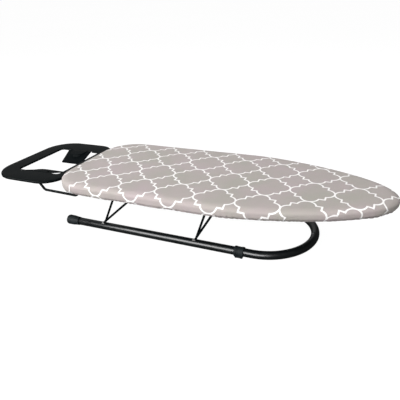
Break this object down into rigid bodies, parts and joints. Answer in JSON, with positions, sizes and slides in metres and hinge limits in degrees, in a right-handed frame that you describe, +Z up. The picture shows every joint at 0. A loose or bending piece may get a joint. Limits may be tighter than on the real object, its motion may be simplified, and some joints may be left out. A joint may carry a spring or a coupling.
{
  "type": "tabletop ironing board",
  "caption": "Short-legged ironing board with a padded patterned cover, a wire-leg stand on a U-shaped tube base and a stamped metal iron rest at its square end.",
  "frame": {"origin": "on the table, under the middle of the whole object's bounding box", "axes": "+X along the board from the iron rest to the rounded nose, +Y across it to the far side, +Z up from the table"},
  "size_m": [0.9294, 0.311, 0.132],
  "materials": {
    "cover_cloth": "matte woven cotton, warm grey with a cream trellis print",
    "pad_felt": "matte felt",
    "deck_steel": "satin grey paint",
    "black_coat": "satin black powder coat",
    "black_rubber": "matte moulded"
  },
  "bodies": {
    "root": {"fabric_cover": "cover_cloth", "felt_pad": "pad_felt", "mesh_deck": "deck_steel", "rim_tube": "deck_steel", "cross_bar_tail": "black_coat", "cross_bar_middle": "black_coat", "cross_bar_front": "black_coat", "cross_bar_nose": "black_coat", "stringer_near": "black_coat", "stringer_far": "black_coat", "leg_wire_tail_upright": "black_coat", "leg_wire_tail_brace": "black_coat", "leg_wire_nose_upright": "black_coat", "leg_wire_nose_brace": "black_coat", "base_tube": "black_coat", "end_cap_near": "black_rubber", "end_cap_far": "black_rubber", "clip_foot_near": "black_rubber", "clip_foot_far": "black_rubber", "iron_rest": "black_coat", "rest_wire_near": "black_coat", "rest_wire_far": "black_coat"}
  },
  "joints": []
}
